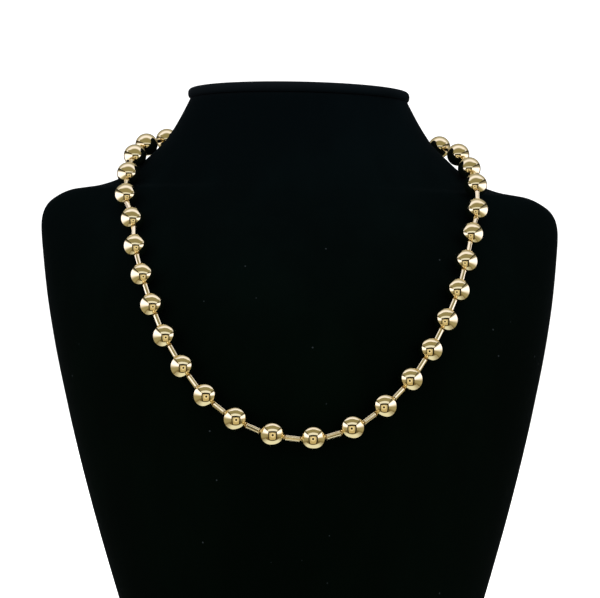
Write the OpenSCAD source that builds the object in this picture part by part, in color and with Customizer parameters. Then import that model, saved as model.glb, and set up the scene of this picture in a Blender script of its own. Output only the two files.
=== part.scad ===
// Ball chain necklace on a plain neck bust.
// Round balls and short barrel links alternate along one closed loop. The loop
// lies on the bust: over the chest, across both shoulders and round the neck.
// Lengths are in mm, angles in degrees. The bust stands on z = 0, its chest
// faces -Y, and the origin is the middle of its base. Left and right are as
// seen from the front, so +X is to the right.

/* [Chain] */
// Diameter of a ball
bead_d = 9.5; // [7:0.5:11]
// Number of balls. The barrels fill what is left between them
bead_count = 35; // [30:1:42]
// Diameter of the barrel of a link
barrel_d = 2.1; // [1.4:0.1:3]
// Bare neck of a link, between its barrel and each ball
link_gap = 0.15; // [0.15:0.05:1]
// Diameter of the neck of a link
link_neck_d = 1.1; // [0.8:0.1:1.4]
// Thickness of a ball's wall
bead_wall = 0.6; // [0.4:0.1:1]
// How far the chain is slid round the neck, leftwards at the back
chain_slide = 5; // [-7:0.2:7]

/* [Clasp] */
// Diameter of the clasp's barrel
clasp_d = 6; // [4:0.5:7]

/* [Bust] */
// Height of the bust below its neck cap
bust_h = 241; // [200:1:290]
// Width over the shoulders
bust_w = 217; // [180:1:260]
// Width of the base
base_w = 126; // [100:1:150]
// How far the chest stands out in front of the base's middle
chest_reach = 69; // [60:1:80]
// How far the back stands out behind the base's middle
back_reach = 68; // [60:1:80]
// Width of the neck at its top
neck_w = 92.5; // [80:1:105]
// How far the neck's top stands out in front of the base's middle
neck_reach = 1.5; // [-4:0.5:8]
// How much lower the right shoulder is than the left
shoulder_drop = 5.6; // [0:0.1:8]

/* [Neck cap] */
// Thickness of the oval cap on the neck
cap_t = 4.3; // [3:0.1:8]
// How far the cap stands out past the neck
cap_lip = 0.8; // [0.4:0.1:2]

/* [Fit] */
// Clearance between a ball and the velvet under it
seat_gap = 0.2; // [0.2:0.05:0.6]
// Clearance of a link's neck in a ball's hole, on the radius
hole_gap = 0.3; // [0.15:0.05:0.4]
// Clearance between the cap and the neck
cap_gap = 0.2; // [0.1:0.05:0.4]

/* [Hidden] */
$fn = 48;

// Sections of the bust from the base up. In each row:
//   height, as a share of bust_h
//   half width, from 0 at the neck's to 1 at the shoulders' (below the
//     shoulders, from 0 at the base's to 1 at the shoulders')
//   place of the widest line, as a share of the neck's middle
//   front, from 0 at the neck's front to 1 at chest_reach
//   fullness of the front, 1 for a half ellipse
//   back, as a share of back_reach
//   fullness of the back
sections = [
    [0,     0,     0,    0.83,  0.84,  0.86,  0.97],
    [0.15,  0.255, 0.14, 0.945, 0.82,  0.9,   0.96],
    [0.278, 0.463, 0.26, 0.98,  0.81,  0.93,  0.95],
    [0.394, 0.632, 0.36, 0.98,  0.815, 0.945, 0.94],
    [0.486, 0.75,  0.45, 0.955, 0.835, 0.955, 0.93],
    [0.568, 0.848, 0.54, 0.88,  0.838, 0.96,  0.92],
    [0.65,  0.927, 0.62, 0.728, 0.827, 0.965, 0.9],
    [0.725, 0.976, 0.68, 0.527, 0.792, 0.965, 0.88],
    [0.775, 1,     0.76, 0.37,  0.713, 0.965, 0.87],
    [0.805, 0.974, 0.82, 0.282, 0.65,  0.965, 0.86],
    [0.823, 0.904, 0.85, 0.236, 0.64,  0.965, 0.86],
    [0.836, 0.797, 0.88, 0.207, 0.665, 0.965, 0.86],
    [0.843, 0.636, 0.91, 0.193, 0.71,  0.967, 0.87],
    [0.856, 0.488, 0.94, 0.168, 0.773, 0.972, 0.88],
    [0.878, 0.362, 0.97, 0.126, 0.833, 0.98,  0.9],
    [0.9,   0.268, 0.99, 0.079, 0.887, 0.99,  0.93],
    [0.927, 0.165, 1,    0.04,  0.94,  1,     0.96],
    [0.963, 0.075, 1,    0.012, 0.98,  0.99,  0.98],
    [1,     0,     1,    0,     1,     0.975, 1]
];
// Number of the widest section, counted from the base
widest = 8;

// Where the chain lies, from the back of the neck over the left shoulder, the
// chest and the right shoulder: height on the bust as a share of bust_h, angle
// round it from the right hand side, and how far the chain's stiffness keeps the
// balls off it, as a share of bead_r
route = [
    [0.938, 90,    0],
    [0.937, 108,   0],
    [0.935, 128,   0],
    [0.93,  146.5, 0],
    [0.919, 164,   0],
    [0.904, 178,   0],
    [0.878, 196,   0],
    [0.843, 216.5, 0],
    [0.808, 230,   0],
    [0.772, 233,   0],
    [0.717, 234.5, 0],
    [0.633, 238.5, 0],
    [0.554, 244,   0],
    [0.484, 252.5, 0],
    [0.447, 263,   0],
    [0.439, 272,   0],
    [0.456, 281,   0],
    [0.505, 290.5, 0],
    [0.576, 298,   0],
    [0.663, 304,   0],
    [0.741, 307.5, 0],
    [0.797, 310.5, 0],
    [0.833, 316,   0.02],
    [0.866, 340,   0.03],
    [0.893, 356,   0.02],
    [0.912, 372,   0],
    [0.928, 392.5, 0],
    [0.935, 413,   0],
    [0.937, 432,   0]
];

bead_r = bead_d/2;
hole_r = link_neck_d/2 + hole_gap;
head_r = hole_r + 0.75*bead_wall;
n_sections = len(sections);
neck_rear = back_reach*sections[n_sections - 1][5];
neck_mid = (neck_rear - neck_reach)/2;
n_route = len(route);
ring_points = 64;

// Smooth curve through b and c, with a before them and d after
function curve(a, b, c, d, t) =
    0.5*(2*b + (c - a)*t + (2*a - 5*b + 4*c - d)*t*t + (3*b - a - 3*c + d)*t*t*t);

// Row i of the sections, carried on past either end
function row(i) =
    i < 0 ? 2*sections[0] - sections[1]
    : i > n_sections - 1 ? 2*sections[n_sections - 1] - sections[n_sections - 2]
    : sections[i];

// Section at place v, where 0 is the base and n_sections - 1 the top
function section(v) =
    let (i = min(max(floor(v), 0), n_sections - 2))
    curve(row(i - 1), row(i), row(i + 1), row(i + 2), v - i);

function mix(a, b, t) = a + (b - a)*t;

// Share by which a side of a section stands out, between its widest line, where
// s is 0, and its middle, where s is 1
function plump(fullness, s) = s*(1 - 4*(1 - fullness)*s*(1 - s));

// Point of the bust's surface at place v and angle a
function skin(v, a) =
    let (
        s = section(v),
        half_w = mix(v < widest ? base_w/2 : neck_w/2, bust_w/2, s[1]),
        mid = neck_mid*s[2],
        front = -mix(neck_reach, chest_reach, s[3]),
        back = back_reach*s[5],
        x = half_w*cos(a),
        y = sin(a) < 0
            ? mix(mid, front, plump(s[4], -sin(a)))
            : mix(mid, back, plump(s[6], sin(a))),
        lean = min(max(s[0]/0.83, 0), 1)
    )
    [x, y, bust_h*s[0] - shoulder_drop*lean*x/bust_w];

// Direction square to the surface at place v and angle a
function outward(v, a) =
    let (
        along = skin(v, a + 0.5) - skin(v, a - 0.5),
        upward = skin(v + 0.02, a) - skin(v - 0.02, a),
        n = cross(along, upward)
    )
    n/norm(n);

// Place of a height share among the sections
heights = [for (i = [0 : 10*(n_sections - 1)]) [section(i/10)[0], i/10]];
function place_of(share) = lookup(share, heights);

// Centre of a ball that lies at row r of the route
function seat(r) =
    let (v = place_of(r[0]))
    skin(v, r[1]) + (bead_r*(1 + r[2]) + seat_gap)*outward(v, r[1]);
knots = [for (r = route) seat(r)];
function knot(i) = knots[i - n_route*floor(i/n_route)];

// Centre line of the chain at place t, where a whole lap is n_route
function line_at(t) =
    let (i = floor(t))
    curve(knot(i - 1), knot(i), knot(i + 1), knot(i + 2), t - i);

// The centre line's points and the length of the line up to each
line_steps = 10*n_route;
line_points = [for (i = [0 : line_steps]) line_at(i/10)];
line_lengths = [for (i = 0, s = 0; i <= line_steps;
    s = s + (i < line_steps ? norm(line_points[i + 1] - line_points[i]) : 0), i = i + 1) [s, i/10]];
loop_l = line_lengths[line_steps][0];

// Place along the loop at a length from its start
function at_length(s) = line_at(lookup(s - loop_l*floor(s/loop_l), line_lengths));

// The balls are spaced evenly round the loop, and the clasp takes the place of one
places = bead_count + 1;
pitch = loop_l/places;
barrel_l = pitch - bead_d - 2*link_gap;

// Centre of ball i. Number 0, behind the neck, is the clasp's place
function centre(i) = at_length(chain_slide + i*pitch);
// Direction of ball i's hole, halfway between its two links'
function heading(i) =
    let (d = centre(i + 1) - centre(i - 1))
    d/norm(d);
// The two holes of ball i, where the links leave it
function hole_after(i) = centre(i) + bead_r*heading(i);
function hole_before(i) = centre(i) - bead_r*heading(i);

function bead_name(i) = str("bead_", i < 10 ? "0" : "", i);

// Turns the Z axis to a direction
module point_along(d) {
    rotate([0, acos(d[2]/norm(d)), atan2(d[1], d[0])]) children();
}

// Closed skin through rings of equally many points, flat at both ends
module skin_through(rings) {
    k = len(rings[0]);
    n = len(rings);
    polyhedron(
        points = [for (r = rings) each r],
        faces = concat(
            [[for (j = [0 : k - 1]) j]],
            [for (i = [0 : n - 2], j = [0 : k - 1])
                let (a = i*k + j, b = i*k + (j + 1)%k) each [[a, b + k, b], [a, a + k, b + k]]],
            [[for (j = [k - 1 : -1 : 0]) (n - 1)*k + j]]
        )
    );
}

// Torso and neck in one, with a flat base
module bust_form() {
    color([0.04, 0.045, 0.055])
    skin_through([for (i = [0 : 2*(n_sections - 1)])
        [for (j = [0 : ring_points - 1]) skin(i/2, 360*j/ring_points)]]);
}

// Oval cap on the neck, with a rounded edge
module neck_cap() {
    edge = cap_t*0.4;
    // inset from the cap's outline and height, up the rounded edge
    profile = concat(
        [for (a = [-90 : 30 : 0]) [edge*(1 - cos(a)), edge*(1 + sin(a))]],
        [for (a = [0 : 30 : 90]) [edge*(1 - cos(a)), cap_t - edge*(1 - sin(a))]]
    );
    reach = (neck_rear + neck_reach)/2;
    lean = -shoulder_drop/bust_w;
    color([0.05, 0.055, 0.065])
    skin_through([for (p = profile)
        [for (j = [0 : ring_points - 1])
            let (
                a = 360*j/ring_points,
                x = (neck_w/2 + cap_lip - p[0])*cos(a),
                y = neck_mid + (reach + cap_lip - p[0])*sin(a)
            )
            [x, y, bust_h + cap_gap + p[1] + lean*x]]]);
}

// Hollow ball with a hole at each end
module bead(i) {
    color([0.92, 0.72, 0.36])
    translate(centre(i)) point_along(heading(i))
    difference() {
        sphere(r = bead_r);
        sphere(r = bead_r - bead_wall);
        cylinder(h = 2*bead_d, r = hole_r, center = true);
    }
}

// Link between two holes: a barrel, a neck at each end, and the head that
// holds each neck in its ball
module link(from, to, body_l, body_d) {
    span = norm(to - from);
    neck_end = span/2 + bead_wall + hole_gap;
    head_l = 2*head_r;
    nr = link_neck_d/2;
    br = body_d/2;
    b = body_l/2;
    edge = br/4;
    translate((from + to)/2) point_along(to - from)
    rotate_extrude()
    polygon([
        [0, -neck_end - head_l], [head_r*0.6, -neck_end - head_l],
        [head_r, -neck_end - head_l*0.7], [head_r, -neck_end - head_l*0.3],
        [nr, -neck_end],
        [nr, -b], [br - edge, -b], [br, -b + edge],
        [br, b - edge], [br - edge, b], [nr, b],
        [nr, neck_end],
        [head_r, neck_end + head_l*0.3], [head_r, neck_end + head_l*0.7],
        [head_r*0.6, neck_end + head_l], [0, neck_end + head_l]
    ]);
}

// The barrel links between the balls
module connector_links() {
    color([0.9, 0.7, 0.32])
    for (i = [1 : bead_count - 1])
        link(hole_after(i), hole_before(i + 1), barrel_l, barrel_d);
}

// Plain barrel behind the neck that closes the loop
module barrel_clasp() {
    from = hole_after(bead_count);
    to = hole_before(places + 1);
    color([0.9, 0.7, 0.32])
    link(from, to, norm(to - from) - 2*link_gap, clasp_d);
}

bust_form();
neck_cap();
for (i = [1 : bead_count]) bead(i);
connector_links();
barrel_clasp();
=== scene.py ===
import math
import random

import bmesh
import bpy
import numpy as np
from mathutils import Matrix, Vector


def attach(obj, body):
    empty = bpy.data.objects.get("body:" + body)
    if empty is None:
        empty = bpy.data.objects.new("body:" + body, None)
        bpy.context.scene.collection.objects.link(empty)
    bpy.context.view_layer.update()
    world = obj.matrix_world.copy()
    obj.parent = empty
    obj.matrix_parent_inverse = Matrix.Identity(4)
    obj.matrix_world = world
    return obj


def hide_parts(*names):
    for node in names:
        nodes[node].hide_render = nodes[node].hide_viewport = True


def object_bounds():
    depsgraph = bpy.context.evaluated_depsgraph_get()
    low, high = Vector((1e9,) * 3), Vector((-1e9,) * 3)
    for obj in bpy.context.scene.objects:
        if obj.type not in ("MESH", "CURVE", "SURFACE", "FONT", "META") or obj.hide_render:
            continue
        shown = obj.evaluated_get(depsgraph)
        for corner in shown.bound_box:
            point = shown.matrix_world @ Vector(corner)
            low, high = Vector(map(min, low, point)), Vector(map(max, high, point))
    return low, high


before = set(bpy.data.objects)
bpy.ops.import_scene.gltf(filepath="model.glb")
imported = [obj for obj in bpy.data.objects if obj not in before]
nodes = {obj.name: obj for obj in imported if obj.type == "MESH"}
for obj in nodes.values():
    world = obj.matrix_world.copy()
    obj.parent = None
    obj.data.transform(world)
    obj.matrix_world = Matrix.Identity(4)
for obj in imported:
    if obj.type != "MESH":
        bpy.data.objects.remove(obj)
cadBox = [list(corner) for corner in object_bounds()]
mm = 0.001
print("frame loaded,", len(nodes), "nodes")


# Camera, where the photograph was taken from

camera = {
    "place": (0, -0.706, 0.157),
    "lens": 104.1,  # mm, on a sensor 36 mm wide
    "roll": 0.35,  # degrees to the right, so the picture leans left
}


def placeCamera():
    data = bpy.data.cameras.new("photoCamera")
    data.sensor_width = 36
    data.lens = camera["lens"]
    data.clip_start = 0.02
    data.clip_end = 30
    seen = bpy.data.objects.new("photoCamera", data)
    seen.location = camera["place"]
    seen.rotation_euler = (math.radians(90), math.radians(camera["roll"]), 0)
    bpy.context.scene.collection.objects.link(seen)
    bpy.context.scene.camera = seen


placeCamera()
bpy.context.scene.view_settings.view_transform = "Standard"
print("camera placed")


# Shader sums: arithmetic on a Wire adds Math nodes

class Wire:  # an output socket
    def __init__(self, finish, socket):
        self.finish = finish
        self.socket = socket

    def math(self, operation, first, second):
        return self.finish.add("ShaderNodeMath", {"operation": operation}, {0: first, 1: second})

    def __add__(self, other):
        return self.math("ADD", self, other)

    def __radd__(self, other):
        return self.math("ADD", other, self)

    def __sub__(self, other):
        return self.math("SUBTRACT", self, other)

    def __rsub__(self, other):
        return self.math("SUBTRACT", other, self)

    def __mul__(self, other):
        return self.math("MULTIPLY", self, other)

    def __rmul__(self, other):
        return self.math("MULTIPLY", other, self)

    def __abs__(self):
        return self.math("ABSOLUTE", self, 0)


class Finish:  # one material and its nodes
    def __init__(self, name):
        self.material = bpy.data.materials.new(name)
        self.material.use_nodes = True
        self.tree = self.material.node_tree
        self.tree.nodes.clear()

    def add(self, kind, settings=None, sockets=None, out=0):
        node = self.tree.nodes.new(kind)
        for name, value in (settings or {}).items():
            setattr(node, name, value)
        for name, value in (sockets or {}).items():
            if isinstance(value, Wire):
                self.tree.links.new(value.socket, node.inputs[name])
            else:
                node.inputs[name].default_value = value
        return Wire(self, node.outputs[out]) if node.outputs else node

    def places(self):  # metres, in the row frame
        return self.add("ShaderNodeTexCoord", out="Object")

    def split(self, places):  # x, y and z
        first = self.add("ShaderNodeSeparateXYZ", None, {0: places})
        return [Wire(self, socket) for socket in first.socket.node.outputs]

    def stretch(self, places, factors):
        return self.add("ShaderNodeVectorMath", {"operation": "MULTIPLY"}, {0: places, 1: factors})

    def noise(self, places, size, detail=2, rough=0.5):  # size is that of one blotch, in metres
        sockets = {"Vector": places, "Scale": 1 / size, "Detail": detail, "Roughness": rough}
        return self.add("ShaderNodeTexNoise", None, sockets)

    def ease(self, value, low, high):  # 0 below low, 1 above high
        sockets = {"Value": value, "From Min": low, "From Max": high}
        return self.add("ShaderNodeMapRange", {"interpolation_type": "SMOOTHSTEP"}, sockets)

    def step(self, value, at, soft):  # 0 below one value and 1 above, blurred by soft on either side
        return self.ease(value, at - soft, at + soft)

    def mix(self, factor, first, second):
        return self.add("ShaderNodeMix", {"data_type": "RGBA"}, {0: factor, 6: first, 7: second}, 2)

    def bump(self, height, depth):  # height 0 to 1, depth in metres
        return self.add("ShaderNodeBump", None, {"Strength": 1, "Distance": depth, "Height": height})

    def surface(self, sockets):
        shader = self.add("ShaderNodeBsdfPrincipled", None, sockets)
        self.add("ShaderNodeOutputMaterial", None, {"Surface": shader})
        return self.material


def rgba(colour):
    return (*colour, 1)


# Gold finishes

goldFinish = {
    "tint": (0.93, 0.79, 0.46),
    "deepTint": (0.90, 0.62, 0.22),  # painted shade: a darker gold in the recess round a hole
    "deepShare": 0.85,
    "blushTint": (0.945, 0.77, 0.41),  # faint warmer clouds in the plating
    "blushShare": 0.6,
    "cloudSize": 3.5 * mm,
    "cloudEnds": (0.42, 0.68),  # noise values where a cloud starts and is full
    "polish": 0.05,  # roughness of clean plating
    "hazeSize": 0.9 * mm,
    "hazeRough": 0.03,
    "recessRough": 0.12,
    "scratchSize": 1.6 * mm,
    "scratchStretch": (1, 0.35, 0.6),
    "scratchWidth": 0.006,  # as a share of the noise
    "scratchRough": 0.08,
    "scratchDepth": 0.02,  # as a share of the relief
    "patchSize": 2.6 * mm,  # of the patches that the scratches lie in
    "patchEnds": (0.5, 0.62),
    "waveSize": 2.4 * mm,  # slow waves in the pressed metal
    "waveShare": 0.9,
    "rippleSize": 0.7 * mm,
    "rippleShare": 0.06,
    "relief": 0.022 * mm,
}


def hairlines(finish, places, size, width):  # thin curved lines, where a noise crosses its middle
    middle = 0.5
    crossing = abs(finish.noise(places, size, 1) - middle)
    return 1 - finish.ease(crossing, width / 2, width)


def polishedGold():
    look = goldFinish
    gold = Finish("polishedGold")
    places = gold.places()
    recess = gold.add("ShaderNodeAttribute", {"attribute_name": "recess"}, out="Fac")
    clouds = gold.ease(gold.noise(places, look["cloudSize"], 3), *look["cloudEnds"])
    haze = gold.noise(places, look["hazeSize"], 4, 0.6)
    patches = gold.ease(gold.noise(places, look["patchSize"], 1), *look["patchEnds"])
    drawn = gold.stretch(places, look["scratchStretch"])
    scratches = hairlines(gold, drawn, look["scratchSize"], look["scratchWidth"]) * patches
    tint = gold.mix(clouds * look["blushShare"], rgba(look["tint"]), rgba(look["blushTint"]))
    # painted shade: the recesses turn to the darker gold
    tint = gold.mix(recess * look["deepShare"], tint, rgba(look["deepTint"]))
    rough = look["polish"] + haze * look["hazeRough"]
    rough = rough + scratches * look["scratchRough"] + recess * look["recessRough"]
    height = gold.noise(places, look["waveSize"], 1) * look["waveShare"]
    height = height + gold.noise(places, look["rippleSize"], 1) * look["rippleShare"]
    height = height - scratches * look["scratchDepth"]
    return gold.surface({
        "Base Color": tint,
        "Metallic": 1,
        "Roughness": rough,
        "Normal": gold.bump(height, look["relief"]),
    })


linkFinish = {
    "tint": (0.94, 0.80, 0.49),
    "deepTint": (0.72, 0.45, 0.14),  # where worn, and as painted shade on the rods and heads
    "deepShare": 0.8,
    "polish": 0.05,
    "recessRough": 0.1,
    "lineSize": 0.16 * mm,  # of the fine lines drawn along the tube
    "lineStretch": (0.12, 1, 1),
    "lineRough": 0.08,
    "patchSize": 1.3 * mm,
    "patchRough": 0.05,
    "wornEnds": (0.55, 0.75),
    "wornShare": 0.3,
    "relief": 0.006 * mm,
}


def linkGold():
    look = linkFinish
    gold = Finish("linkGold")
    grain = gold.add("ShaderNodeAttribute", {"attribute_name": "grain"}, out="Vector")
    recess = gold.add("ShaderNodeAttribute", {"attribute_name": "recess"}, out="Fac")
    lines = gold.noise(gold.stretch(grain, look["lineStretch"]), look["lineSize"], 3, 0.6)
    patches = gold.noise(grain, look["patchSize"], 3)
    worn = gold.ease(patches, *look["wornEnds"]) * look["wornShare"]
    # wear patches, and painted shade on the rods and heads
    tint = gold.mix(worn + recess * look["deepShare"], rgba(look["tint"]), rgba(look["deepTint"]))
    rough = look["polish"] + lines * look["lineRough"]
    rough = rough + patches * look["patchRough"] + recess * look["recessRough"]
    return gold.surface({
        "Base Color": tint,
        "Metallic": 1,
        "Roughness": rough,
        "Normal": gold.bump(lines, look["relief"]),
    })


# Velvet finish

velvetFinish = {
    "tint": (0.00022, 0.00072, 0.00038),
    "paintedLightTint": (0.0005, 0.0011, 0.0014),  # painted light from above: lighter towards the neck
    "paintedLightEnds": (0.11, 0.26),  # heights between which the painted light comes in
    # painted light on the top of the cap, reaching down past the lip to soften the shade under it
    "capPaintedLight": (0.0027, 0.0035, 0.0043),
    "capLightEnds": (-9.2 * mm, 0.13 * mm),  # heights between which it comes in, from the top of the cap
    "swirlSize": 38 * mm,  # of the patches where the pile lies the other way
    "swirlStretch": (1, 1, 0.45),
    "swirlEnds": (0.42, 0.7),
    "brushed": 1.5,  # how much lighter they are
    "brushedShare": 0.7,  # the rest of the lighter tint follows the pile
    "pileSize": 0.45 * mm,
    "pileHeight": 0.7,  # as a share of the relief, and the rest is a slower unevenness
    "unevenSize": 2.5 * mm,
    "relief": 0.25 * mm,
    "lintTint": (0.016, 0.019, 0.021),
    "lintShare": 0.8,
    "lintApart": 7 * mm,
    "lintEnds": (0.03, 0.06),  # a speck's radius, as a share of that distance
    "dustySize": 16 * mm,  # of the patches that hold lint
    "dustyEnds": (0.53, 0.6),
    "sheen": 0.007,
    "sheenTint": (0.62, 0.72, 0.86),
}


def blackVelvet():
    look = velvetFinish
    velvet = Finish("blackVelvet")
    places = velvet.places()
    level = velvet.split(places)[2]
    top = cadBox[1][2]
    swirl = velvet.noise(velvet.stretch(places, look["swirlStretch"]), look["swirlSize"], 3, 0.55)
    brushed = velvet.ease(swirl, *look["swirlEnds"])
    pile = velvet.noise(places, look["pileSize"], 3, 0.65)
    # painted light: lighter towards the neck and on the top of the cap
    tint = velvet.mix(velvet.ease(level, *look["paintedLightEnds"]), rgba(look["tint"]), rgba(look["paintedLightTint"]))
    edge = velvet.ease(level, *[top + end for end in look["capLightEnds"]])
    tint = velvet.mix(edge * edge, tint, rgba(look["capPaintedLight"]))
    lighter = velvet.add("ShaderNodeVectorMath", {"operation": "SCALE"}, {0: tint, 3: look["brushed"]})
    share = look["brushedShare"]
    tint = velvet.mix(brushed * share + pile * (1 - share), tint, lighter)
    specks = velvet.add("ShaderNodeTexVoronoi", None, {"Vector": places, "Scale": 1 / look["lintApart"]})
    dusty = velvet.ease(velvet.noise(places, look["dustySize"], 1), *look["dustyEnds"])
    lint = (1 - velvet.ease(specks, *look["lintEnds"])) * dusty
    tint = velvet.mix(lint * look["lintShare"], tint, rgba(look["lintTint"]))
    uneven = velvet.noise(places, look["unevenSize"], 2)
    height = pile * look["pileHeight"] + uneven * (1 - look["pileHeight"])
    return velvet.surface({
        "Base Color": tint,
        "Roughness": 0.96,
        "Specular IOR Level": 0.004,
        "Sheen Weight": look["sheen"],
        "Sheen Roughness": 0.32,
        "Sheen Tint": rgba(look["sheenTint"]),
        "Normal": velvet.bump(height, look["relief"]),
    })


goldMaterial = polishedGold()
linkMaterial = linkGold()
velvetMaterial = blackVelvet()
print("finishes made")


# Making pieces

def newPiece(name, points, faces, material, values=None):
    mesh = bpy.data.meshes.new(name)
    mesh.from_pydata([tuple(p) for p in points], [], faces)
    mesh.validate()
    for label, numbers in (values or {}).items():
        vectors = np.ndim(numbers) == 2
        field = mesh.attributes.new(label, "FLOAT_VECTOR" if vectors else "FLOAT", "POINT")
        field.data.foreach_set("vector" if vectors else "value", np.asarray(numbers, float).ravel())
    mesh.polygons.foreach_set("use_smooth", [True] * len(mesh.polygons))
    mesh.materials.append(material)
    piece = bpy.data.objects.new(name, mesh)
    bpy.context.scene.collection.objects.link(piece)
    return piece


def addPart(name, points, faces, material, stoodFor, values=None):
    piece = newPiece(name, points, faces, material, values)
    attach(piece, "root")
    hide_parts(stoodFor)


def netFaces(rows, columns, wrapRows=False):  # between closed rings of points
    faces = []
    for i in range(rows if wrapRows else rows - 1):
        for j in range(columns):
            k = (j + 1) % columns
            a = i * columns
            b = (i + 1) % rows * columns
            faces.append((a + j, a + k, b + k, b + j))
    return faces


def spin(profile, count):  # points of a profile turned round Z, ring by ring
    thinnest = 0.01 * mm
    points = []
    for radius, z in profile:
        for j in range(count):
            a = 2 * math.pi * j / count
            r = max(radius, thinnest)
            points.append(Vector((r * math.cos(a), r * math.sin(a), z)))
    return points


def spinFaces(profile, count):  # with both ends filled
    faces = netFaces(len(profile), count)
    last = (len(profile) - 1) * count
    return faces + [tuple(reversed(range(count))), tuple(range(last, last + count))]


def spinGrain(profile, count, outer):  # for the fine lines: along, around and out
    return [(z, 2 * math.pi * j / count * outer, r) for r, z in profile for j in range(count)]


def turnTo(axis, centre):  # places a shape made along Z
    turn = Vector((0, 0, 1)).rotation_difference(Vector(axis))
    return Matrix.Translation(Vector(centre)) @ turn.to_matrix().to_4x4()


def nodePoints(name):
    mesh = nodes[name].data
    points = np.zeros(len(mesh.vertices) * 3)
    mesh.vertices.foreach_get("co", points)
    return points.reshape(-1, 3)


# Where the chain lies, from the balls and the clasp of the frame

def ballPlace(name):  # centre and radius of the sphere through a ball's outer points
    points = nodePoints(name)
    middle = (points.min(0) + points.max(0)) / 2
    away = np.linalg.norm(points - middle, axis=1)
    outside = 0.95 * away.max()  # leaves out the inner wall
    outer = points[away > outside]
    rows = np.hstack([2 * outer, np.ones((len(outer), 1))])
    found = np.linalg.lstsq(rows, (outer ** 2).sum(1), rcond=None)[0]
    centre = found[:3]
    return Vector(centre), math.sqrt(found[3] + centre @ centre)


ballNames = sorted(name for name in nodes if name.startswith("bead_"))
ballCount = len(ballNames)
ballPlaces = [ballPlace(name) for name in ballNames]
ballRadius = sum(radius for centre, radius in ballPlaces) / ballCount
ballCentres = [centre for centre, radius in ballPlaces]


def claspAxis():  # centre and direction of the clasp, from its last ball towards its first
    points = np.unique(nodePoints("barrel_clasp").round(7), axis=0)
    middle = (points.min(0) + points.max(0)) / 2
    spread = np.linalg.eigh(np.cov((points - middle).T))[1]
    axis = Vector(spread[:, 2])
    if axis.dot(ballCentres[0] - ballCentres[-1]) < 0:
        axis.negate()
    along = (points - middle) @ np.array(axis)
    near = 0.1 * mm
    first = Vector(points[along < along.min() + near].mean(0))
    last = Vector(points[along > along.max() - near].mean(0))
    return (first + last) / 2, (last - first).normalized()


claspCentre, claspDirection = claspAxis()


def holeToward(centre, direction):  # from the clasp's hole in an end ball to the ball's middle
    offset = centre - claspCentre
    side = offset - direction * offset.dot(direction)
    inside = math.sqrt(max(ballRadius ** 2 - side.length_squared, 0))
    return (side + direction * inside).normalized()


def ballHeading(i):  # direction of a ball's holes
    if i == 0:
        return holeToward(ballCentres[0], claspDirection)
    if i == ballCount - 1:
        return -holeToward(ballCentres[-1], -claspDirection)
    return (ballCentres[i + 1] - ballCentres[i - 1]).normalized()


headings = [ballHeading(i) for i in range(ballCount)]
holesAfter = [c + h * ballRadius for c, h in zip(ballCentres, headings)]
holesBefore = [c - h * ballRadius for c, h in zip(ballCentres, headings)]
print("chain read:", ballCount, "balls of", round(ballRadius * 2 / mm, 2), "mm")


# Balls: hollow, with a rolled lip round each hole

ball = {
    "wall": 0.6 * mm,
    "holeRadius": 0.85 * mm,
    "lip": 0.22 * mm,  # radius of the rolled lip
    "around": 60,
    "outerSteps": 22,  # from a lip to the middle
    "lipSteps": 6,
    "innerSteps": 6,
    "recessWidth": 0.75 * mm,  # how far the painted shade, a deeper tint, reaches from a hole's edge
    "skin": 0.3 * mm,  # what lies further in than this has the painted shade too
}


def ballProfile():  # half of a section, from the inner middle round the lip to the outer middle
    hole = ball["holeRadius"]
    lip = ball["lip"]
    inner = ballRadius - ball["wall"]
    quarter = math.pi / 2
    points = []
    last = math.asin(hole / inner)
    for k in range(ball["innerSteps"]):
        a = quarter + (last - quarter) * k / ball["innerSteps"]
        points.append((inner * math.sin(a), inner * math.cos(a)))
    points.append((hole, inner * math.cos(last)))
    lipAngle = math.asin((hole + lip) / (ballRadius - lip))  # the lip touches the outside here
    lipTop = (ballRadius - lip) * math.cos(lipAngle)
    points.append((hole, lipTop - lip))
    for k in range(ball["lipSteps"] + 1):
        a = math.pi - (quarter + lipAngle) * k / ball["lipSteps"]
        points.append((hole + lip + lip * math.cos(a), lipTop + lip * math.sin(a)))
    for k in range(1, ball["outerSteps"] + 1):
        a = lipAngle + (quarter - lipAngle) * k / ball["outerSteps"]
        points.append((ballRadius * math.sin(a), ballRadius * math.cos(a)))
    return points


def ballRecess(radius, z):  # 1 inside and at a hole's edge, 0 on the open outside
    if radius * radius + z * z <= (ballRadius - ball["skin"]) ** 2:
        return 1
    return max(0, 1 - (radius - ball["holeRadius"]) / ball["recessWidth"])


def makeBalls():
    half = ballProfile()
    profile = half + [(r, -z) for r, z in reversed(half[1:-1])]
    count = ball["around"]
    faces = [tuple(reversed(face)) for face in netFaces(len(profile), count, wrapRows=True)]
    points = spin(profile, count)
    recess = [ballRecess(r, z) for r, z in profile for j in range(count)]
    for name, centre, heading in zip(ballNames, ballCentres, headings):
        place = turnTo(heading, centre)
        label = "ball" + name.split("_")[1]
        placed = [place @ point for point in points]
        addPart(label, placed, faces, goldMaterial, name, {"recess": recess})


makeBalls()
print("balls made")


# Links: a strip rolled into a tube round a rod, with its seam on the underside

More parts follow.
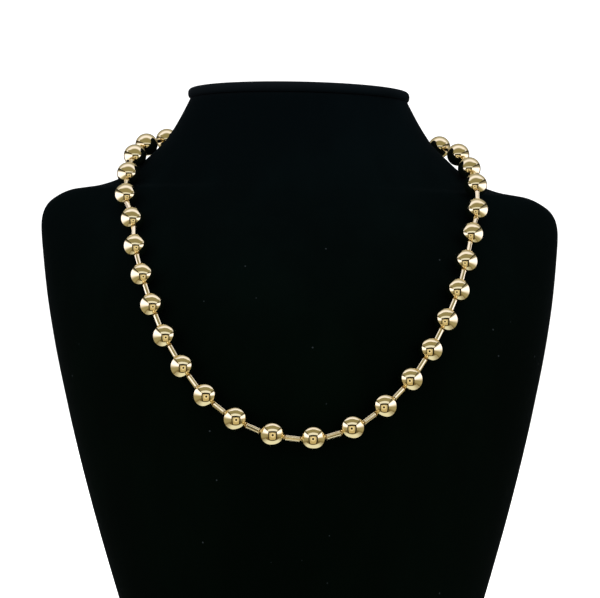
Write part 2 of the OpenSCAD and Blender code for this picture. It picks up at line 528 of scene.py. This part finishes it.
link = {
    "gap": 0.15 * mm,  # bare rod between a tube and a ball
    "rodRadius": 0.55 * mm,
    "rodAround": 20,
    "tubeRadius": 1.05 * mm,
    "tubeWall": 0.26 * mm,
    "tubeAround": 34,
    "edge": 0.1 * mm,  # rounding of the tube's ends
    "seam": 0.24 * mm,  # width of the open seam
    "seamSwing": 28,  # degrees that a seam may lie away from the underside
    "flare": 0.16 * mm,  # how far a corner of the strip stands out at the seam
    "flareRange": (0.25, 1.1),  # least and most, as a share of that
    "flareLength": 0.6 * mm,
    "flareWidth": 0.13,  # as a share of the way round
    "flareCurve": 1.5,  # 1 is a straight slope
    "headRadius": 1.3 * mm,
    "reach": 0.9 * mm,  # how far the rod goes into a ball before its head
    "lean": 0.25,  # how far the outer side that the seams face turns down
    "recess": 0.7,  # how strong the painted shade on the rod and heads is
    "nextGrain": 20 * mm,  # moves the fine lines on from link to link
    "innerGrain": 3 * mm,  # and from a tube's outside to its inside
    "seed": 7,
}
chainMiddle = sum(ballCentres, Vector()) / ballCount


def tubeNet(length, corners):  # rolled tube along Z; corners are the flares at its four seam corners
    outer = link["tubeRadius"]
    inner = outer - link["tubeWall"]
    half = length / 2
    edge = link["edge"]
    end = [  # heights, and how far the tube is rounded in there
        (half, edge), (half - edge * 0.3, edge * 0.3), (half - edge, 0), (half - 0.35 * mm, 0),
        (half - link["flareLength"], 0), (half * 0.45, 0),
    ]
    stations = [(-z, inset) for z, inset in end] + [(0, 0)] + end[::-1]
    opening = link["seam"] / outer / 2
    curve = link["flareCurve"]
    count = link["tubeAround"]
    points = []
    grain = []
    for z, inset in stations:
        endNear = max(0, 1 - (half - abs(z)) / link["flareLength"])
        ring = []
        for k in range(count + 1):
            share = k / count
            a = opening + (2 * math.pi - 2 * opening) * share
            corner = corners[0 if share < 0.5 else 1][0 if z < 0 else 1]
            seamNear = max(0, 1 - min(share, 1 - share) / link["flareWidth"])
            ring.append((a, corner * seamNear ** curve * endNear ** curve))
        for a, lift in ring:
            radius = outer - inset + lift
            points.append(Vector((radius * math.cos(a), radius * math.sin(a), z)))
            grain.append((z, a * outer, radius))
        for a, lift in reversed(ring):
            radius = inner + inset * 0.6 + lift
            points.append(Vector((radius * math.cos(a), radius * math.sin(a), z)))
            grain.append((z, a * outer + link["innerGrain"], radius))
    columns = 2 * (count + 1)
    faces = netFaces(len(stations), columns)
    last = (len(stations) - 1) * columns
    for k in range(count):
        faces.append((k + 1, k, columns - 1 - k, columns - 2 - k))
        faces.append((last + k, last + k + 1, last + columns - 2 - k, last + columns - 1 - k))
    return points, faces, grain


def headProfile(end):  # a rod's head below its end, as radius and height
    head = link["headRadius"]
    return [
        (0, -end - head * 2), (head * 0.6, -end - head * 2), (head, -end - head * 1.4),
        (head, -end - head * 0.6), (link["rodRadius"], -end),
    ]


def rodNet(span):  # bare rod and its two heads, along Z
    r = link["rodRadius"]
    profile = headProfile(span / 2 + link["reach"])
    profile += [(r, -span / 2 + link["edge"]), (r, -span / 4), (r, 0)]
    profile += [(radius, -z) for radius, z in reversed(profile[:-1])]
    count = link["rodAround"]
    return spin(profile, count), spinFaces(profile, count), spinGrain(profile, count, r)


def underside(axis, middle):  # from a link, towards the outer lower side of the chain
    away = middle - chainMiddle
    away.y = 0
    away = away + Vector((0, 0, -link["lean"])) * away.length
    away = away - axis * away.dot(axis)
    return away.normalized()


def linkPlace(start, end, seamTurn):  # Z along the link, X to its seam
    axis = (end - start).normalized()
    middle = (start + end) / 2
    seam = Matrix.Rotation(seamTurn, 3, axis) @ underside(axis, middle)
    place = Matrix.Identity(4)
    for k, column in enumerate((seam, axis.cross(seam), axis, middle)):
        place.col[k][:3] = column
    return place


def makeLinks():
    rolls = random.Random(link["seed"])
    swing = link["seamSwing"]
    flare = link["flare"]
    points = []
    faces = []
    grain = []
    recess = []
    for i in range(ballCount - 1):
        start = holesAfter[i]
        end = holesBefore[i + 1]
        span = (end - start).length
        place = linkPlace(start, end, math.radians(rolls.uniform(-swing, swing)))
        corners = [[flare * rolls.uniform(*link["flareRange"]) for k in range(2)] for side in range(2)]
        tube = tubeNet(span - 2 * link["gap"], corners)
        # the rods and heads carry the painted shade
        for made, deep in ((tube, 0), (rodNet(span), link["recess"])):
            first = len(points)
            points += [place @ point for point in made[0]]
            faces += [tuple(first + n for n in face) for face in made[1]]
            grain += [(z + i * link["nextGrain"], around, r) for z, around, r in made[2]]
            recess += [deep] * len(made[0])
    values = {"grain": grain, "recess": recess}
    addPart("chainLinks", points, faces, linkMaterial, "connector_links", values)


makeLinks()
print("links made")


# Clasp: a plain barrel with rounded shoulders and one fine joint line

clasp = {
    "shoulder": 0.9 * mm,
    "shoulderSteps": 7,
    "groove": 0.12 * mm,
    "fillet": 0.05 * mm,  # where the rod meets the barrel
    "straight": 2 * mm,  # kept straight beside a shoulder and beside the joint line
    "around": 72,
}


def claspProfile(span, radius):  # from the head at one end to the joint line
    half = span / 2 - link["gap"]
    shoulder = clasp["shoulder"]
    groove = clasp["groove"]
    fillet = clasp["fillet"]
    straight = clasp["straight"]
    rod = link["rodRadius"]
    profile = headProfile(span / 2 + link["reach"])
    profile += [(rod, -half - fillet * 0.4), (rod + fillet, -half), (radius - shoulder * 1.3, -half)]
    for k in range(1, clasp["shoulderSteps"] + 1):
        a = math.pi / 2 * k / clasp["shoulderSteps"]
        profile.append((radius - shoulder * (1 - math.sin(a)), -half + shoulder * (1 - math.cos(a))))
    profile += [(radius, -half + straight), (radius, -straight), (radius, -2 * groove)]
    profile += [(radius - groove * 0.3, -groove), (radius - groove, -groove * 0.4)]
    return profile


def makeClasp():
    start = holesAfter[-1]
    end = holesBefore[0]
    points = nodePoints("barrel_clasp") - np.array(claspCentre)
    along = points @ np.array(claspDirection)
    radius = np.linalg.norm(points - np.outer(along, claspDirection), axis=1).max()
    profile = claspProfile((end - start).length, radius)
    profile += [(r, -z) for r, z in reversed(profile)]
    count = clasp["around"]
    place = turnTo(claspDirection, (start + end) / 2)
    placed = [place @ point for point in spin(profile, count)]
    values = {
        "grain": spinGrain(profile, count, radius),
        # painted shade on the rod and heads, as on the links
        "recess": [link["recess"] if r < radius / 2 else 0 for r, z in profile for j in range(count)],
    }
    faces = spinFaces(profile, count)
    addPart("barrelClasp", placed, faces, linkMaterial, "barrel_clasp", values)


makeClasp()
print("clasp made")


# Bust and cap: the frame's own rings of points, carried on smoothly between them

bust = {
    "finerAround": 4,
    "finerUp": 4,
    "baseEdge": 1.4 * mm,  # rounding where the velvet turns under
    "baseSteps": 4,
}
cap = {
    "finerAround": 4,
    "finerUp": 3,
}


def frameRings(name):  # a node's rings of points, from its flat underside up
    touching = 0.001 * mm
    flat = -0.99  # a face's direction
    bottomPart = 6 * mm  # flat faces further up don't count
    net = bmesh.new()
    net.from_mesh(nodes[name].data)
    bmesh.ops.remove_doubles(net, verts=net.verts, dist=touching)
    net.normal_update()
    layer = {v for f in net.faces if f.normal.z < flat for v in f.verts}
    lowest = min(v.co.z for v in layer)
    layer = {v for v in layer if v.co.z < lowest + bottomPart}
    seen = set()
    rings = []
    while layer:
        seen |= layer
        ring = np.array([v.co for v in layer])
        middle = ring.mean(0)
        ring = ring[np.argsort(np.arctan2(ring[:, 1] - middle[1], ring[:, 0] - middle[0]))]
        rings.append(np.roll(ring, -int(np.argmax(ring[:, 0])), axis=0))
        layer = {e.other_vert(v) for v in layer for e in v.link_edges} - seen
    net.free()
    return np.array(rings)


def between(a, b, c, d, t):  # smooth curve from b to c, past a and d
    square = (2 * a - 5 * b + 4 * c - d) * t ** 2
    cube = (3 * b - a - 3 * c + d) * t ** 3
    return 0.5 * (2 * b + (c - a) * t + square + cube)


def finerAround(rings, times):
    before = np.roll(rings, 1, axis=1)
    after = np.roll(rings, -1, axis=1)
    beyond = np.roll(rings, -2, axis=1)
    parts = [between(before, rings, after, beyond, k / times) for k in range(times)]
    return np.stack(parts, axis=2).reshape(len(rings), -1, 3)


def finerUp(rings, times):
    padded = np.concatenate([2 * rings[:1] - rings[1:2], rings, 2 * rings[-1:] - rings[-2:-1]])
    made = []
    for i in range(len(rings) - 1):
        for k in range(times):
            made.append(between(padded[i], padded[i + 1], padded[i + 2], padded[i + 3], k / times))
    made.append(rings[-1])
    return np.array(made)


def closed(rings):  # points and faces of a net with both ends filled
    smaller = (0.97, 0.6, 0.25)  # rings towards an end's middle
    columns = rings.shape[1]
    points = list(rings.reshape(-1, 3))
    faces = netFaces(len(rings), columns)
    for ring, up in ((0, False), (len(rings) - 1, True)):
        rim = [ring * columns + j for j in range(columns)]
        middle = rings[ring].mean(0)
        for share in smaller:
            inner = [len(points) + j for j in range(columns)]
            points += list(middle + (rings[ring] - middle) * share)
            for j in range(columns):
                k = (j + 1) % columns
                quad = (rim[j], rim[k], inner[k], inner[j])
                faces.append(quad if up else tuple(reversed(quad)))
            rim = inner
        points.append(middle)
        for j in range(columns):
            k = (j + 1) % columns
            corner = (rim[j], rim[k], len(points) - 1)
            faces.append(corner if up else tuple(reversed(corner)))
    return points, faces


def roundBase(rings, size, steps):  # turns the lowest edge under
    first = rings[0]
    up = rings[1] - first
    middle = first.mean(0)
    out = first - middle
    out = out / np.linalg.norm(out, axis=1, keepdims=True)
    made = []
    for k in range(steps + 1):
        a = math.pi / 2 * k / steps
        rise = size * (1 - math.cos(a))
        made.append(first + up * (rise / up[:, 2:3].mean()) - out * size * (1 - math.sin(a)))
    return np.concatenate([made, rings[1:]])


def makeBust():
    rings = finerUp(finerAround(frameRings("bust_form"), bust["finerAround"]), bust["finerUp"])
    points, faces = closed(roundBase(rings, bust["baseEdge"], bust["baseSteps"]))
    addPart("neckBust", points, faces, velvetMaterial, "bust_form")
    print("bust made,", len(faces), "faces")


def makeCap():
    rings = finerUp(finerAround(frameRings("neck_cap"), cap["finerAround"]), cap["finerUp"])
    points, faces = closed(rings)
    addPart("neckCap", points, faces, velvetMaterial, "neck_cap")
    print("cap made,", len(faces), "faces")


makeBust()
makeCap()


# Studio: pale floor, white surround and soft lamps

studio = {
    "floorTint": (0.95, 0.95, 0.95),
    "mottleTint": (0.931, 0.931, 0.931),  # in faint blotches
    "mottleSize": 0.05,
    "grainSize": 2 * mm,
    "grainDepth": 0.05 * mm,
    "floorSize": 12,
    "surround": 1.3,
    "aim": (0, 0, 0.12),  # what the lamps point at
}
lamps = [
    {"name": "leftLamp", "place": (-0.9, -0.7, 0.75), "size": 0.8, "power": 9},
    {"name": "rightLamp", "place": (0.9, -0.7, 0.75), "size": 0.8, "power": 9},
    {"name": "topLamp", "place": (0, -0.1, 1.3), "size": 1.0, "power": 10},
    {"name": "backLamp", "place": (0, 1.1, 0.7), "size": 0.9, "power": 5},
]


def floorMaterial():
    finish = Finish("paleFloor")
    places = finish.places()
    mottle = finish.noise(places, studio["mottleSize"], 2)
    grain = finish.noise(places, studio["grainSize"], 2)
    return finish.surface({
        "Base Color": finish.mix(mottle, rgba(studio["floorTint"]), rgba(studio["mottleTint"])),
        "Roughness": 0.9,
        "Specular IOR Level": 0.1,
        "Normal": finish.bump(grain, studio["grainDepth"]),
    })


def makeFloor():
    half = studio["floorSize"] / 2
    corners = [(-half, -half, 0), (half, -half, 0), (half, half, 0), (-half, half, 0)]
    floor = newPiece("paleFloor", corners, [(0, 1, 2, 3)], floorMaterial())
    floor.visible_glossy = False


def makeSurround():
    world = bpy.data.worlds.new("whiteSurround")
    world.use_nodes = True
    background = world.node_tree.nodes["Background"]
    background.inputs["Color"].default_value = (1, 1, 1, 1)
    background.inputs["Strength"].default_value = studio["surround"]
    bpy.context.scene.world = world


def makeLamp(lamp):
    data = bpy.data.lights.new(lamp["name"], "AREA")
    data.size = lamp["size"]
    data.energy = lamp["power"]
    shown = bpy.data.objects.new(lamp["name"], data)
    shown.location = lamp["place"]
    aim = Vector(studio["aim"]) - Vector(lamp["place"])
    shown.rotation_euler = aim.to_track_quat("-Z", "Y").to_euler()
    shown.visible_glossy = False
    shown.visible_camera = False
    bpy.context.scene.collection.objects.link(shown)


makeFloor()
makeSurround()
for lamp in lamps:
    makeLamp(lamp)
print("floor and lamps placed")


# Light tent that the gold reflects: glowing cards that nothing else sees

tent = {
    "left": -0.200,
    "right": 0.205,
    "front": -0.298,
    "back": 0.33,
    "bottom": -0.3,
    "wallTop": 0.288,
    "opening": (-0.141, 0.132, -0.140, 0.184),  # left, right, lower and upper edges
    "openingSoft": (0.005, 0.015),  # half width of the blur of its edges, and of the lower one
    "creamEnds": (-0.06, 0.13),  # heights between which its glow turns
    "lens": (0.0, 0.092),  # x and z of the dark spot in it
    "lensRadius": 0.042,
    "lensEdge": (0.75, 1.2),  # in radii
    "haloEdge": (1.4, 2.7),  # of the bright ring round the lens, in radii
    "sideLow": (-0.02, 0.07),  # heights between which a side turns from bottom to low
    "leftLit": (0.105, 0.185),  # and between which it turns white
    "rightLit": (0.095, 0.175),
    "leftWhite": 0.240,  # height where it stops being white
    "rightWhite": 0.226,
    "whiteSoft": 0.012,
    "lineStart": 0.257,  # from here up it is a dark line
    "lineSoft": 0.005,
    "sideEnd": (0.085, 0.150),  # between these it dims towards the back
    "ceiling": ((-0.298, 0.253), (-0.202, 0.280), (-0.075, 0.350)),  # y and z: bright strip, then dim
    "ceilingHalf": 0.13,  # half width of the dim part's middle
    "wing": (0.34, 0.11),  # its sides reach this far out and this much further back
    "stripSoft": 0.006,
    "deepEnd": -0.09,  # how far back deepOlive reaches
    "tableEdge": -0.150,
    "tableFade": 0.02,  # width of its darker front edge
    "tableSides": (0.06, 0.18),  # how far out it turns darker
    "domeOver": (-0.36, -0.10),  # going back, the dome turns from olive to over here
    "domeAbove": (0.04, 0.40),  # then to above
    "domeBehind": (0.5, 0.78),  # and then to behind
    "domeLow": (-0.3, 0.1),  # heights between which it leaves low
}
tentGlow = {
    "white": (1.6, 1.6, 2.1),
    "bright": (0.93, 0.84, 0.64),
    "cream": (0.56, 0.50, 0.35),
    "lowCream": (0.57, 0.48, 0.28),
    "dark": (0.015, 0.012, 0.008),
    "lens": (0.01, 0.008, 0.005),
    "strip": (0.92, 0.97, 1.1),
    "deepOlive": (0.31, 0.28, 0.18),
    "olive": (0.31, 0.285, 0.175),
    "pale": (0.32, 0.31, 0.28),
    "line": (0.05, 0.045, 0.03),
    "over": (1.08, 1.1, 1.42),
    "above": (0.45, 0.43, 0.38),
    "behind": (0.2, 0.185, 0.15),
    "low": (0.37, 0.34, 0.22),
    "bottom": (0.16, 0.125, 0.06),
    "table": (0.86, 0.90, 0.88),
    "tableFront": (0.30, 0.23, 0.11),
    "tableSide": (0.42, 0.40, 0.33),
}
glows = {part: rgba(tint) for part, tint in tentGlow.items()}


def frontGlow(finish, x, y, z):
    left, right, low, high = tent["opening"]
    soft, lowSoft = tent["openingSoft"]
    across = finish.step(x, left, soft) * (1 - finish.step(x, right, soft))
    up = finish.step(z, low, lowSoft) * (1 - finish.step(z, high, soft))
    inside = finish.mix(finish.ease(z, *tent["creamEnds"]), glows["lowCream"], glows["cream"])
    aside = x - tent["lens"][0]
    above = z - tent["lens"][1]
    away = finish.add("ShaderNodeMath", {"operation": "SQRT"}, {0: aside * aside + above * above})
    for edge, part in (("haloEdge", "bright"), ("lensEdge", "lens")):
        near, far = [tent["lensRadius"] * share for share in tent[edge]]
        inside = finish.mix(finish.ease(away, near, far), glows[part], inside)
    return finish.mix(across * up, glows["dark"], inside)


def sideGlow(lit, top):
    def glow(finish, x, y, z):
        shine = finish.mix(finish.step(z, top, tent["whiteSoft"]), glows["white"], glows["pale"])
        shine = finish.mix(finish.ease(y, *tent["sideEnd"]), shine, glows["behind"])
        shine = finish.mix(finish.ease(z, *lit), glows["low"], shine)
        shine = finish.mix(finish.ease(z, *tent["sideLow"]), glows["bottom"], shine)
        return finish.mix(finish.step(z, tent["lineStart"], tent["lineSoft"]), shine, glows["line"])
    return glow


def ceilingGlow(finish, x, y, z):
    turn = tent["ceiling"][1][0]
    dim = finish.mix(finish.ease(y, turn, tent["deepEnd"]), glows["deepOlive"], glows["olive"])
    return finish.mix(finish.step(y, turn, tent["stripSoft"]), glows["strip"], dim)


def tableGlow(finish, x, y, z):
    edge = tent["tableEdge"]
    pale = finish.mix(finish.ease(abs(x), *tent["tableSides"]), glows["table"], glows["tableSide"])
    return finish.mix(finish.ease(y, edge, edge + tent["tableFade"]), glows["tableFront"], pale)


def surroundGlow(finish, x, y, z):
    high = finish.mix(finish.ease(y, *tent["domeOver"]), glows["olive"], glows["over"])
    high = finish.mix(finish.ease(y, *tent["domeAbove"]), high, glows["above"])
    high = finish.mix(finish.ease(y, *tent["domeBehind"]), high, glows["behind"])
    return finish.mix(finish.ease(z, *tent["domeLow"]), glows["low"], high)


def glowing(name, glow):
    finish = Finish(name)
    x, y, z = finish.split(finish.places())
    shader = finish.add("ShaderNodeEmission", None, {"Color": glow(finish, x, y, z), "Strength": 1})
    finish.add("ShaderNodeOutputMaterial", None, {"Surface": shader})
    finish.material.cycles.emission_sampling = "NONE"
    return finish.material


def onlyReflected(piece):
    for hidden in ("camera", "diffuse", "transmission", "volume_scatter", "shadow"):
        setattr(piece, "visible_" + hidden, False)


def addCard(name, corners, glow):
    onlyReflected(newPiece(name, corners, [tuple(range(len(corners)))], glowing(name, glow)))


def makeWalls():
    left, right, low, high = tent["left"], tent["right"], tent["bottom"], tent["wallTop"]
    front, back = tent["front"], tent["back"]
    header = tent["ceiling"][0][1]
    for name, y in (("frontCard", front), ("backCard", back)):
        addCard(name, [(left, y, low), (right, y, low), (right, y, header), (left, y, header)], frontGlow)
    for side, x in (("left", left), ("right", right)):
        corners = [(x, front, low), (x, back, low), (x, back, high), (x, front, high)]
        addCard(side + "Card", corners, sideGlow(tent[side + "Lit"], tent[side + "White"]))


def makeCeiling():
    left, right = tent["left"], tent["right"]
    first, turn, last = tent["ceiling"]
    strip = [(left, *first), (right, *first), (right, *turn), (left, *turn)]
    addCard("stripCard", strip, ceilingGlow)
    half = tent["ceilingHalf"]
    out, further = tent["wing"]
    rise = (last[1] - turn[1]) / (last[0] - turn[0])
    wing = (last[0] + further, last[1] + further * rise)
    outline = [(-out, *turn), (out, *turn), (out, *wing), (half, *last), (-half, *last), (-out, *wing)]
    addCard("ceilingCard", outline, ceilingGlow)


def makeTable():
    left, right, edge, back = tent["left"], tent["right"], tent["tableEdge"], tent["back"]
    level = -mm  # just under the floor
    corners = [(left, edge, level), (right, edge, level), (right, back, level), (left, back, level)]
    addCard("tableCard", corners, tableGlow)


def makeDome():
    bpy.ops.mesh.primitive_uv_sphere_add(segments=48, ring_count=24, radius=1, location=(0, 0, 0))
    dome = bpy.context.object
    dome.name = "tentSurround"
    dome.data.materials.append(glowing("tentSurround", surroundGlow))
    onlyReflected(dome)


makeWalls()
makeCeiling()
makeTable()
makeDome()
print("cards placed")
